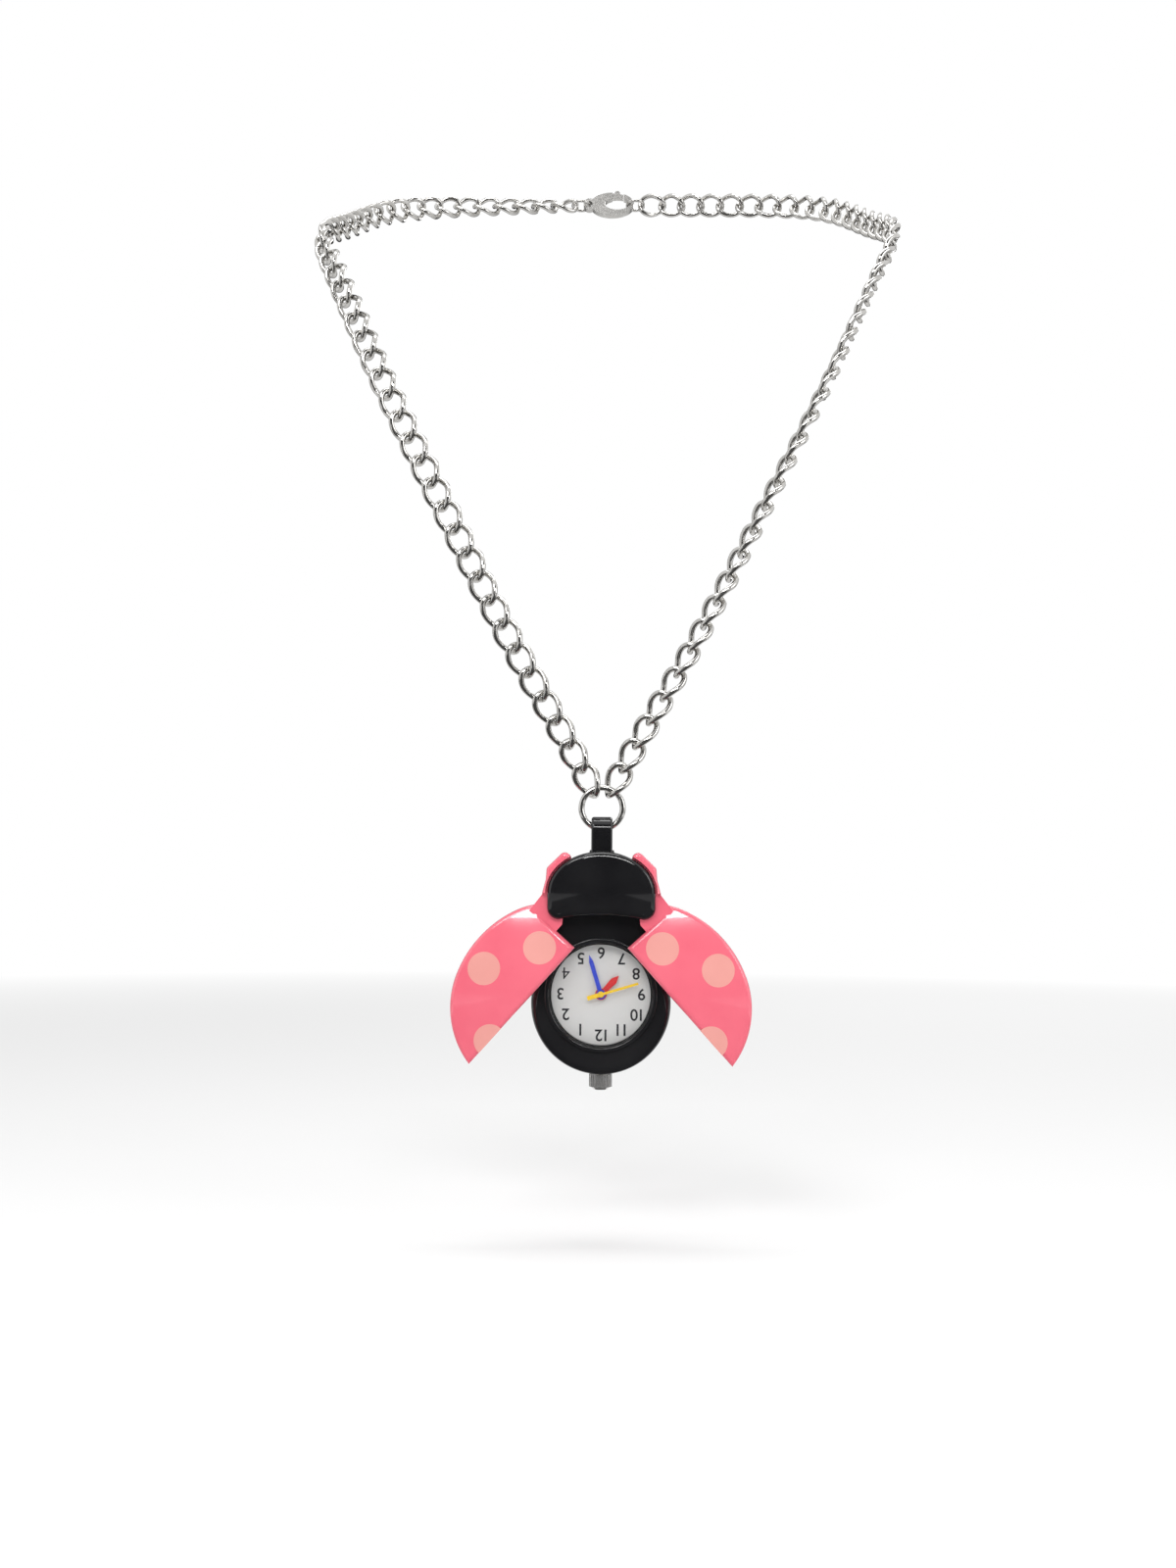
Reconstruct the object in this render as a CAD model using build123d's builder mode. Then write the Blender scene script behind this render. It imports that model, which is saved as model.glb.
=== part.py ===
from build123d import *
import math
import os

# A ladybird pendant watch on a curb chain. Millimetres. The origin is the nape, the middle of the
# clasp at the back of the wearer's neck. X is to the right as one looks at the watch, the watch
# faces -Y and Z is up. The wings are open, the pendant hangs plumb and the front strands lean back
# to the shoulders.

# Necklace loop
drop = 212.0
reach = 72.0
neck_half_width = 64.9
shoulder_drop = 42.7
shoulder_reach = 55.5
strand_lean = 27.0
chest_shares = ((0.24, -0.21, 0.21), (0.48, -0.25, 0.44), (0.71, -0.09, 0.67), (0.92, 0.51, 0.90))
neck_shares = ((0.017, 0.243, 0.25), (0.128, 0.568, 0.60), (0.423, 0.838, 0.86), (0.83, 0.973, 0.977))

# Curb links, all of one hand, and how their flat side turns along each strand
link_length = 8.0
link_width = 6.0
link_wire = 1.15
link_twist = 1.1
link_gap = 0.09
hook_gap = 0.1
front_share = 0.57
turn_shares = (0.0, 0.10, 0.30, 0.48, 0.58, 0.70, 0.85, 1.0)
left_turns = (-36.0, -22.0, -12.0, -22.0, -50.0, -95.0, -145.0, -180.0)
right_turns = (144.0, 125.0, 104.0, 96.0, 96.0, 110.0, 150.0, 180.0)
tilt_share = 0.8
nape_tilt = 45.0

# Jump ring and bail
ring_diameter = 9.5
ring_wire = 1.2
hook_angle = 28.0
bail_width = 4.2
bail_strap = 1.1
bail_round = 0.5
bail_hole = 3.2
bail_top = 35.2
bail_collar = 5.2
bail_collar_height = 1.0
collar_taper = 10.0
bail_stem = 2.4
bail_stem_depth = 2.4
bail_forward = 0.4

# Case and its cover glass
case_radius = 13.8
case_shift = 1.7
case_back_depth = 5.0
case_front = 2.3
case_front_round = 1.5
case_back_round = 0.9
case_bore = 10.7
ledge_bore = 9.8
ledge_depth = 0.05
seat_front = 1.8
bezel_front = 3.0
bezel_outer = 11.1
bezel_inner = 10.2
bezel_round = 0.3
crystal_radius = 10.0
crystal_thickness = 1.1
crystal_edge = 0.25
gasket_height = 0.8

# Case back
back_radius = 12.4
back_thickness = 0.7
back_lip_outer = 10.35
back_lip_inner = 9.6
back_lip_height = 1.0
back_gasket_height = 0.6
back_round = 0.35
back_notch = 1.6

# Head, over the wing hinges
head_half_width = 10.6
head_bottom = 14.7
head_arch = 0.9
head_shoulder = 19.8
head_top = 28.0
head_corner = 2.3
base_margin = 0.5
base_back = 2.6
base_front = 3.0
neck_bottom_half = 10.0
neck_top_half = 8.5
neck_overlap = 6.0
cap_rim = 4.85
cap_front = 7.2
cap_dome = 58.0
cap_edge = 1.1
cap_hollow_front = 5.9
cap_hollow_margin = 3.3
boss_half_width = 3.2
boss_low = 17.6
boss_high = 25.2
cap_screw_radius = 0.6
cap_screw_head = 1.1
cap_screw_head_height = 0.6
cap_screw_reach = 3.0
cap_screw_span = 4.6

# Wings, drawn closed about their hinge pin and turned to their open place
hinge_half_span = 9.3
hinge_height = 18.3
open_angle = 42.0
wing_drop = 4.0
wing_seam = 0.15
wing_shelf_width = 8.9
wing_top_width = 11.0
wing_top_rise = 1.5
wing_top_round = 1.2
wing_corner_width = 13.4
wing_corner_drop = 2.2
wing_width = 15.2
wing_width_drop = 11.5
wing_flank = 13.6
wing_flank_drop = 19.4
wing_length = 30.4
wing_back = 3.3
wing_front = 6.6
wing_dome = 74.0
wing_wall = 0.9
wing_edge = 1.0
spot_radius = 3.2
spot_depth = 0.3
spot_shares = ((0.15, 0.33), (0.487, 0.678), (0.793, 0.0))
arm_back = 3.25
arm_thickness = 1.3
arm_left = 4.3
arm_right = 2.3
arm_drop = 4.7
tab_height = 9.0
tab_round = 1.1
tab_thickness = 2.9
tab_edge = 0.8
tab_gap = 0.4
tab_low = 12.0
tab_shares = ((0.289, -0.078), (0.444, 0.222), (0.6, 0.422),
              (0.567, 0.944), (0.367, 1.0), (0.111, 0.356))
hub_radius = 2.6
pin_radius = 0.7
pin_gap = 0.03
pin_front = 5.6
pin_back = 1.0
pin_fit = 0.02
washer_radius = 1.1
washer_thickness = 0.2

# Dial and hands, places measured in front of the dial
dial_radius = 10.6
dial_thickness = 0.4
dial_hole = 0.9
hour_angle = 43.9
minute_angle = -17.1
second_angle = 73.5
hand_thickness = 0.15
hour_length = 5.1
hour_width = 1.35
hour_shoulder_share = 0.72
hour_level = 0.45
hour_boss = 1.15
minute_length = 8.1
minute_width = 0.85
minute_shoulder_share = 0.82
minute_level = 0.85
minute_boss = 0.95
second_length = 7.7
second_width = 0.5
second_tail = 2.8
second_tail_width = 0.85
second_level = 1.25
second_boss = 0.62
second_cap_radius = 0.43
second_cap_height = 0.2

# Hand work and going train; a level is how far behind the dial a wheel's front face is
arbor_radius = 0.2
cannon_radius = 0.6
cannon_bore = 0.3
hour_pipe_radius = 0.85
hour_pipe_bore = 0.65
pivot_radius = 0.12
tooth_share = 0.36
wheel_thickness = 0.2
hand_wheel_thickness = 0.3
hour_wheel_level = 0.5
minute_wheel_level = 0.87
hand_module = 0.17
hour_module = 0.1632
cannon_teeth = 12
minute_wheel_teeth = 36
minute_pinion_teeth = 10
hour_wheel_teeth = 40
centre_module = 0.0794
centre_teeth = 60
third_pinion_teeth = 8
third_module = 0.075
third_teeth = 64
second_pinion_teeth = 8
second_module = 0.078
second_teeth = 60
fifth_pinion_teeth = 10
fifth_module = 0.075
fifth_teeth = 50
rotor_pinion_teeth = 10
centre_level = 1.58
second_wheel_level = 2.1
fifth_wheel_level = 2.5
third_wheel_level = 2.9
pinion_overhang = 0.06
minute_wheel_direction = -45.0
third_direction = -70.0
fifth_direction = 50.0
rotor_direction = -10.0
magnet_radius = 0.8
magnet_thickness = 0.4
magnet_level = 1.96

# Movement
movement_radius = 9.4
plate_front = 0.45
plate_back = 1.9
hand_pocket_floor = 1.25
hand_pocket_wall = 0.35
train_pocket_floor = 1.5
train_pocket_radius = 3.1
holder_back = 3.7
holder_gap = 0.03
pillar_radius = 0.7
bridge_level = 3.3
bridge_thickness = 0.3
bridge_shares = ((-0.16, 0.691), (0.053, 0.691), (0.553, 0.319), (0.596, -0.351), (0.17, -0.436),
                 (-0.149, -0.436), (-0.362, -0.691), (-0.468, -0.596), (-0.181, -0.17), (-0.138, 0.106))
pillar_shares = ((-0.064, 0.596), (0.489, -0.277), (-0.362, -0.596))
screw_radius = 0.35
screw_head_radius = 0.75
screw_head_height = 0.3
screw_reach = 1.0
battery_radius = 2.9
battery_thickness = 2.1
battery_shares = (-0.489, 0.362)
battery_back = 3.55
battery_gap = 0.1
battery_edge = 0.2
strap_thickness = 0.15
strap_width = 1.7
board_thickness = 0.3
board_low_shares = (-0.809, -0.489)
board_high_shares = (-0.309, -0.043)
chip_radius = 1.0
chip_height = 0.5
chip_shares = (-0.468, -0.181)
can_radius = 0.5
can_length = 2.8
can_shares = (-0.628, -0.383)
coil_offset = 7.0
coil_radius = 0.55
coil_low = -2.5
coil_high = 2.9
core_width = 0.8
core_thickness = 0.4
core_low = -4.3
core_high = 4.7
stator_level = 2.0
stator_thickness = 0.3
stator_bore = 1.0
stator_ring = 1.5
stator_arm = 0.9

# Crown and winding stem
stem_level = 2.6
stem_radius = 0.5
stem_inner = 4.9
crown_radius = 2.3
crown_length = 2.5
crown_dome = 0.5
dome_taper = 45.0
crown_gap = 0.25
crown_flutes = 20
flute_radius = 0.3
crown_recess_radius = 1.35
crown_recess_depth = 1.0
crown_pull = 1.0
tube_outer = 1.05
tube_bore = 0.65
tube_length = 2.9
tube_stand = 0.65
oring_outer = 1.25
oring_bore = 0.52
oring_thickness = 0.3
sliding_pinion_radius = 0.85
sliding_pinion_length = 1.1
sliding_pinion_teeth = 12
pinion_room = 0.12
stem_room = 0.1
groove_radius = 0.28
groove_width = 0.9
groove_place = 6.9
lever_reach = 1.9
lever_radius = 0.45
lever_thickness = 0.3
lever_width = 0.5
lever_pin_radius = 0.22

# Lobster clasp and its two small rings at the nape
clasp_length = 12.0
clasp_width = 6.6
clasp_thickness = 1.8
clasp_hole_length = 7.0
clasp_hole_width = 3.4
clasp_hole_shift = 1.4
clasp_mouth_low = 0.6
clasp_mouth_end = 3.2
clasp_eye_radius = 1.6
clasp_eye_bore = 0.85
clasp_eye_overlap = 0.5
clasp_hook_gap = 0.3
clasp_lever_gap = 0.12
clasp_lever_thickness = 0.9
clasp_slot = 1.1
clasp_pin_radius = 0.35
clasp_pin_shift = -0.6
clasp_pin_rise = 2.35
clasp_knuckle = 0.95
clasp_cheek = 0.6
clasp_thumb = 1.5
clasp_thumb_spot = 1.4
small_ring_diameter = 5.4
small_ring_wire = 0.8

overrun = 1.0

dial_y = -reach
dial_z = -drop


def face(front):
    """The plane at a distance in front of the dial, seen from the front."""
    return Plane(origin=(0, dial_y - front, dial_z), x_dir=(1, 0, 0), z_dir=(0, -1, 0))


def turned(angle, length):
    """A point of the dial's plane, by its angle right of straight up."""
    return (length * math.sin(math.radians(angle)), length * math.cos(math.radians(angle)))


def polar(angle, length):
    """A point of the dial's plane, by its angle up from the right."""
    return (length * math.cos(math.radians(angle)), length * math.sin(math.radians(angle)))


def shifted(spot, step):
    """A point of the dial's plane moved by another."""
    return (spot[0] + step[0], spot[1] + step[1])


def placed(shares, size):
    """Points of a plane, from their shares of a size."""
    return [(x_share * size, y_share * size) for x_share, y_share in shares]


def save(piece, name):
    """Labels a finished piece and writes it."""
    piece.label = name
    export_step(piece, "parts/" + name + ".step")


# Curb link, one closed tube of tangent arcs in its own frame, long along X and flat across Z
half_length = (link_length - link_wire) / 2
half_width = (link_width - link_wire) / 2
link_end = Vector(half_length, 0, 0)
link_side = Vector(0, half_width, 0)
end_tangent = Vector(0, half_width, 2 * link_twist).normalized()
side_tangent = Vector(-half_length, 0, -2 * link_twist).normalized()
link_chord = link_side - link_end
tangent_sum = end_tangent + side_tangent
bend = 2 * (1 - end_tangent.dot(side_tangent))
along = link_chord.dot(tangent_sum)
arc_reach = (math.sqrt(along**2 + bend * link_chord.dot(link_chord)) - along) / bend
arc_joint = (link_end + link_side + (end_tangent - side_tangent) * arc_reach) * 0.5


def quarter(point, x_sign, y_sign):
    """A point of the link's first quarter, turned into another quarter."""
    return Vector(x_sign * point.X, y_sign * point.Y, x_sign * y_sign * point.Z)


with BuildPart() as half_link:
    with BuildLine() as link_line:
        for x_sign in (1, -1):
            ends = [quarter(p, x_sign, 1) for p in (link_end, arc_joint, link_side)]
            TangentArc(ends[0], ends[1], tangent=quarter(end_tangent, x_sign, 1))
            TangentArc(ends[2], ends[1], tangent=quarter(side_tangent, x_sign, 1) * -1)
    with BuildSketch(Plane(origin=link_end, z_dir=end_tangent)):
        Circle(link_wire / 2)
    sweep(path=link_line.wire())

with BuildPart() as link:
    add(half_link.part)
    with Locations(Location((0, 0, 0), (180, 0, 0))):
        add(half_link.part)

# The strand's centre line, from the jump ring up over the shoulder to the nape
ring_line_radius = (ring_diameter - ring_wire) / 2
ring_sag = ring_line_radius - math.sqrt(ring_line_radius**2 - (bail_width / 2) ** 2)
ring_low = bail_top - bail_strap - ring_wire / 2 - hook_gap - ring_sag
ring_centre_z = dial_z + ring_low + ring_line_radius
ring_y = dial_y - bail_forward
hook_x = ring_line_radius * math.sin(math.radians(hook_angle))
hook_z = ring_centre_z + ring_line_radius * math.cos(math.radians(hook_angle))
small_ring_radius = (small_ring_diameter - small_ring_wire) / 2
eye_reach = clasp_length / 2 + clasp_eye_bore - clasp_eye_overlap
hook_reach = clasp_hole_shift + clasp_hole_length / 2 - clasp_hook_gap - small_ring_wire / 2
clasp_shift = (eye_reach - hook_reach) / 2
nape_end = (eye_reach + hook_reach) / 2 + 2 * small_ring_radius

hook_point = Vector(hook_x, ring_y, hook_z)
shoulder_point = Vector(neck_half_width, -shoulder_reach, -shoulder_drop)
nape_point = Vector(nape_end, 0, 0)


def between(start, stop, shares):
    """A point whose three coordinates lie at shares of the way from start to stop."""
    return Vector(*[a + (b - a) * s for a, b, s in zip(tuple(start), tuple(stop), shares)])


route = [hook_point]
route += [between(hook_point, shoulder_point, shares) for shares in chest_shares]
route += [shoulder_point]
route += [between(shoulder_point, nape_point, shares) for shares in neck_shares]
route += [nape_point]
first_way = (math.sin(math.radians(strand_lean)), 0, math.cos(math.radians(strand_lean)))
strand_line = Edge.make_spline(route, tangents=[Vector(*first_way), Vector(-1, 0, 0)])
hook_set = half_length - (ring_wire + link_wire) / 2 - hook_gap
nape_set = half_length - (small_ring_wire + link_wire) / 2 - hook_gap
links_run = strand_line.length - hook_set - nape_set
pitch_limit = link_length - 2 * link_wire - link_gap
link_steps = math.ceil(links_run / pitch_limit)
link_step = links_run / link_steps
front_links = round(front_share * link_steps)


def turn_at(share, turns):
    """The way that a strand's flat side faces at a share of its length, right of the front."""
    for i in range(1, len(turn_shares)):
        if share <= turn_shares[i]:
            part_way = (share - turn_shares[i - 1]) / (turn_shares[i] - turn_shares[i - 1])
            return turns[i - 1] + (turns[i] - turns[i - 1]) * part_way
    return turns[-1]


def link_place(number, side, turns):
    """Where link number lies on the strand of one side, 1 for the right and -1 for the left."""
    run = hook_set + number * link_step
    spot = strand_line.position_at(run, position_mode=PositionMode.LENGTH)
    way = strand_line.tangent_at(run, position_mode=PositionMode.LENGTH)
    turn = math.radians(turn_at(run / strand_line.length, turns))
    spot = Vector(side * spot.X, spot.Y, spot.Z)
    way = Vector(side * way.X, way.Y, way.Z)
    late = max(0, run / strand_line.length - tilt_share) / (1 - tilt_share)
    tilt = math.radians(side * nape_tilt * late)
    flat = Vector(math.sin(turn) * math.cos(tilt), -math.cos(turn) * math.cos(tilt), math.sin(tilt))
    flat = flat - way * flat.dot(way)
    return Plane(origin=spot, x_dir=way, z_dir=flat).location


chain_parts = (
    ("chain_strand_right", 1, right_turns, 0, front_links),
    ("chain_strand_left", -1, left_turns, 0, front_links),
    ("nape_chain_right", 1, right_turns, front_links, link_steps + 1),
    ("nape_chain_left", -1, left_turns, front_links, link_steps + 1),
)
for name, side, turns, first, last in chain_parts:
    places = [link_place(number, side, turns) for number in range(first, last)]
    strand = Compound([link.part.solid().moved(place) for place in places])
    save(strand, name)

shoulder_run = hook_set + (front_links - 0.5) * link_step
shoulder_hinge = strand_line.position_at(shoulder_run, position_mode=PositionMode.LENGTH)
print("strand length", strand_line.length, "links a side", link_steps + 1, "pitch", link_step)
print("links in front", front_links, "shoulder hinge", shoulder_hinge)
print("ring centre", 0, ring_y, ring_centre_z, "hooks", hook_x, hook_z)

# Jump ring through the bail, hung from the last link of each strand
with BuildPart() as jump_ring:
    with BuildSketch(Plane(origin=(0, ring_y, ring_centre_z), x_dir=(1, 0, 0), z_dir=(0, 0, 1))):
        with Locations((ring_line_radius, 0)):
            Circle(ring_wire / 2)
    revolve(axis=Axis((0, ring_y, ring_centre_z), (0, 1, 0)))
save(jump_ring.part, "jump_ring")

# Small rings at the two ends of the nape chain
for name, side in (("end_ring", 1), ("clasp_ring", -1)):
    ring_x = side * (nape_end - small_ring_radius)
    with BuildPart() as small_ring:
        with BuildSketch(Plane(origin=(ring_x, 0, 0), x_dir=(1, 0, 0), z_dir=(0, 1, 0))):
            with Locations((small_ring_radius, 0)):
                Circle(small_ring_wire / 2)
        revolve(axis=Axis((ring_x, 0, 0), (0, 0, 1)))
    save(small_ring.part, name)

# Lobster clasp, flat against the neck, its lever in a slot and turning on a pin
def clasp_plane(thickness):
    """The near face of a piece of the clasp, centred on the chain's line."""
    return Plane(origin=(clasp_shift, thickness / 2, 0), x_dir=(1, 0, 0), z_dir=(0, -1, 0))


clasp_pin_spot = (clasp_pin_shift, clasp_pin_rise)
mouth_length = clasp_mouth_end - clasp_pin_shift
mouth_middle = (clasp_mouth_end + clasp_pin_shift) / 2
cheek_length = mouth_length - clasp_cheek
mouth_height = clasp_mouth_low + clasp_width / 2

with BuildPart() as clasp_body:
    with BuildSketch(clasp_plane(clasp_thickness)):
        Ellipse(clasp_length / 2, clasp_width / 2)
        with Locations((-eye_reach, 0)):
            Circle(clasp_eye_radius)
            Circle(clasp_eye_bore, mode=Mode.SUBTRACT)
        with Locations((clasp_hole_shift, 0)):
            Ellipse(clasp_hole_length / 2, clasp_hole_width / 2, mode=Mode.SUBTRACT)
    extrude(amount=clasp_thickness)
    with BuildSketch(clasp_plane(clasp_thickness)):
        with Locations((clasp_mouth_end - cheek_length / 2, mouth_height)):
            Rectangle(cheek_length, clasp_width)
    extrude(amount=clasp_thickness, mode=Mode.SUBTRACT)
    with BuildSketch(clasp_plane(clasp_slot)):
        with Locations((mouth_middle, mouth_height)):
            Rectangle(mouth_length, clasp_width)
        with Locations(clasp_pin_spot):
            Circle(clasp_knuckle + clasp_lever_gap)
    extrude(amount=clasp_slot, mode=Mode.SUBTRACT)
    with BuildSketch(clasp_plane(clasp_thickness)):
        with Locations(clasp_pin_spot):
            Circle(clasp_pin_radius)
    extrude(amount=clasp_thickness, mode=Mode.SUBTRACT)
save(clasp_body.part, "clasp_body")

with BuildPart() as clasp_lever:
    with BuildSketch(clasp_plane(clasp_lever_thickness)):
        Ellipse(clasp_length / 2, clasp_width / 2)
        with Locations((clasp_hole_shift, 0)):
            Ellipse(clasp_hole_length / 2, clasp_hole_width / 2, mode=Mode.SUBTRACT)
        with Locations((mouth_middle - clasp_lever_gap / 2, mouth_height + clasp_lever_gap)):
            Rectangle(mouth_length - clasp_lever_gap, clasp_width, mode=Mode.INTERSECT)
        with Locations((clasp_thumb_spot, clasp_width / 2)):
            Circle(clasp_thumb / 2)
        with Locations(clasp_pin_spot):
            Circle(clasp_knuckle)
            Circle(clasp_pin_radius + pin_gap, mode=Mode.SUBTRACT)
    extrude(amount=clasp_lever_thickness)
save(clasp_lever.part, "clasp_lever")

with BuildPart() as clasp_pin:
    with BuildSketch(clasp_plane(clasp_thickness)):
        with Locations(clasp_pin_spot):
            Circle(clasp_pin_radius)
    extrude(amount=clasp_thickness)
save(clasp_pin.part, "clasp_pin")
print("clasp pin", clasp_shift + clasp_pin_shift, clasp_pin_rise)


def stem_plane(distance):
    """The plane across the winding stem, a distance below the dial's centre, facing down."""
    return Plane(origin=(0, dial_y + stem_level, dial_z - distance), x_dir=(1, 0, 0), z_dir=(0, 0, -1))


def head_outline(margin):
    """Draws the head's outline, drawn in by a margin: an arched foot, upright sides, a round top."""
    half = head_half_width - margin
    foot = head_bottom + margin
    crown_z = head_top - margin
    middle = foot + head_arch
    corner = head_corner * half / head_half_width
    with BuildLine() as outline:
        left = ThreePointArc((-half + corner, foot), (0, middle), (half - corner, foot))
        right_corner = RadiusArc(left @ 1, (half, foot + corner), -corner)
        right_side = Line(right_corner @ 1, (half, head_shoulder))
        top = EllipticalCenterArc((0, head_shoulder), half, crown_z - head_shoulder, arc_size=180)
        left_side = Line(top @ 1, (-half, foot + corner))
        RadiusArc(left_side @ 1, left @ 0, -corner)
    make_face(outline.edges())


# Case body: round case, neck and head base cast in one
head_middle = (head_bottom + head_top) / 2
with BuildPart() as case_body:
    with BuildSketch(face(-case_back_depth)):
        with Locations((0, -case_shift)):
            Circle(case_radius)
    extrude(amount=case_back_depth + case_front)
    rims = case_body.edges().filter_by(GeomType.CIRCLE)
    fillet(rims.sort_by(Axis.Y)[0], case_front_round)
    fillet(case_body.edges().filter_by(GeomType.CIRCLE).sort_by(Axis.Y)[-1], case_back_round)
    with BuildSketch(face(-base_back)):
        with BuildLine():
            Polyline(
                (-neck_bottom_half, neck_overlap),
                (neck_bottom_half, neck_overlap),
                (neck_top_half, head_middle),
                (-neck_top_half, head_middle),
                close=True,
            )
        make_face()
    extrude(amount=base_back + case_front)
    with BuildSketch(face(-base_back)):
        head_outline(base_margin)
    extrude(amount=base_back + base_front)
    with BuildSketch(face(-case_back_depth)):
        Circle(case_bore)
    extrude(amount=case_back_depth + ledge_depth, mode=Mode.SUBTRACT)
    with BuildSketch(face(0)):
        Circle(ledge_bore)
    extrude(amount=bezel_front, mode=Mode.SUBTRACT)
    with BuildSketch(face(seat_front)):
        Circle(bezel_outer)
    extrude(amount=bezel_front, mode=Mode.SUBTRACT)
    with BuildSketch(face(-pin_back)):
        with Locations((-hinge_half_span, hinge_height), (hinge_half_span, hinge_height)):
            Circle(pin_radius + pin_fit)
    extrude(amount=pin_back + base_front, mode=Mode.SUBTRACT)
    with BuildSketch(face(-base_back)):
        with Locations((0, (boss_low + boss_high) / 2)):
            with GridLocations(0, cap_screw_span, 1, 2):
                Circle(cap_screw_radius + pin_fit)
    extrude(amount=base_back + base_front, mode=Mode.SUBTRACT)
    with BuildSketch(face(-base_back)):
        with Locations((0, (boss_low + boss_high) / 2)):
            with GridLocations(0, cap_screw_span, 1, 2):
                Circle(cap_screw_head + pin_fit)
    extrude(amount=cap_screw_head_height, mode=Mode.SUBTRACT)
    with BuildSketch(stem_plane(ledge_bore)):
        Circle(tube_outer)
    extrude(amount=case_radius, mode=Mode.SUBTRACT)
    bail_seat = Plane(origin=(0, ring_y, dial_z + head_top - base_margin + overrun), z_dir=(0, 0, -1))
    with BuildSketch(bail_seat):
        Circle(bail_stem / 2)
    extrude(amount=overrun + bail_stem_depth, mode=Mode.SUBTRACT)
save(case_body.part, "case_body")

# Bail: a strap loop on a collar, whose stem is pressed into the head base
bail_outer = bail_hole / 2 + bail_strap
bail_hole_z = dial_z + bail_top - bail_outer
bail_foot = dial_z + head_top - base_margin
with BuildPart() as bail:
    bail_side = (-bail_width / 2, ring_y, bail_hole_z)
    with BuildSketch(Plane(origin=bail_side, x_dir=(0, 1, 0), z_dir=(1, 0, 0))):
        Circle(bail_outer)
        with Locations((0, (bail_foot - bail_hole_z) / 2)):
            Rectangle(2 * bail_outer, bail_hole_z - bail_foot)
        Circle(bail_hole / 2, mode=Mode.SUBTRACT)
    extrude(amount=bail_width)
    sides = bail.edges().group_by(Axis.X)
    fillet(sides[0] + sides[-1], bail_round)
    with BuildSketch(Plane(origin=(0, ring_y, bail_foot), z_dir=(0, 0, 1))):
        Ellipse(bail_collar / 2, bail_collar / 2)
    extrude(amount=bail_collar_height, taper=collar_taper)
    with BuildSketch(Plane(origin=(0, ring_y, bail_foot), z_dir=(0, 0, -1))):
        Circle(bail_stem / 2)
    extrude(amount=bail_stem_depth)
save(bail.part, "bail")
print("bail hinge z", dial_z + ring_low)

# Head cap: a domed black shield on a boss, screwed down from behind
with BuildPart() as head_cap:
    with BuildSketch(face(cap_rim)):
        head_outline(0)
    extrude(amount=cap_front - cap_rim + overrun)
    with Locations((0, dial_y - cap_front + cap_dome, dial_z + head_middle)):
        Sphere(cap_dome, mode=Mode.INTERSECT)
    fillet(head_cap.faces().sort_by(Axis.Y)[0].edges(), cap_edge)
    with BuildSketch(face(cap_rim)):
        head_outline(cap_hollow_margin)
    extrude(amount=cap_hollow_front - cap_rim, mode=Mode.SUBTRACT)
    with BuildSketch(face(base_front)):
        with Locations((0, (boss_low + boss_high) / 2)):
            Rectangle(2 * boss_half_width, boss_high - boss_low)
    extrude(amount=cap_hollow_front - base_front)
    with BuildSketch(face(base_front)):
        with Locations((0, (boss_low + boss_high) / 2)):
            with GridLocations(0, cap_screw_span, 1, 2):
                Circle(cap_screw_radius)
    extrude(amount=cap_screw_reach, mode=Mode.SUBTRACT)
    with BuildSketch(face(cap_rim)):
        with Locations((-hinge_half_span, hinge_height), (hinge_half_span, hinge_height)):
            Circle(pin_radius + pin_fit)
    extrude(amount=pin_front - cap_rim, mode=Mode.SUBTRACT)
save(head_cap.part, "head_cap")

with BuildPart() as cap_screws:
    with BuildSketch(face(-base_back)):
        with Locations((0, (boss_low + boss_high) / 2)):
            with GridLocations(0, cap_screw_span, 1, 2):
                Circle(cap_screw_radius)
    extrude(amount=base_back + base_front + cap_screw_reach)
    with BuildSketch(face(-base_back)):
        with Locations((0, (boss_low + boss_high) / 2)):
            with GridLocations(0, cap_screw_span, 1, 2):
                Circle(cap_screw_head)
                Rectangle(2 * cap_screw_head, cap_screw_radius / 2, mode=Mode.SUBTRACT)
    extrude(amount=cap_screw_head_height)
save(cap_screws.part, "cap_screws")

with BuildPart() as hinge_pins:
    with BuildSketch(face(-pin_back)):
        with Locations((-hinge_half_span, hinge_height), (hinge_half_span, hinge_height)):
            Circle(pin_radius)
    extrude(amount=pin_back + pin_front)
save(hinge_pins.part, "wing_hinge_pins")

with BuildPart() as friction_washers:
    with BuildSketch(face(base_front)):
        with Locations((-hinge_half_span, hinge_height), (hinge_half_span, hinge_height)):
            Circle(washer_radius)
            Circle(pin_radius + pin_gap, mode=Mode.SUBTRACT)
    extrude(amount=washer_thickness)
save(friction_washers.part, "wing_friction_washers")


def wing_plane(front):
    """The right wing's plane: its origin on the hinge pin, turned from closed to open."""
    angle = math.radians(open_angle)
    pivot = (hinge_half_span, dial_y - front, dial_z + hinge_height)
    return Plane(origin=pivot, x_dir=(math.cos(angle), 0, math.sin(angle)), z_dir=(0, -1, 0))


def wing_spot(width, fall):
    """A point of the wing, by its distance out from the seam and down from its top edge."""
    return (wing_seam + width - hinge_half_span, -wing_drop - fall)


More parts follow.
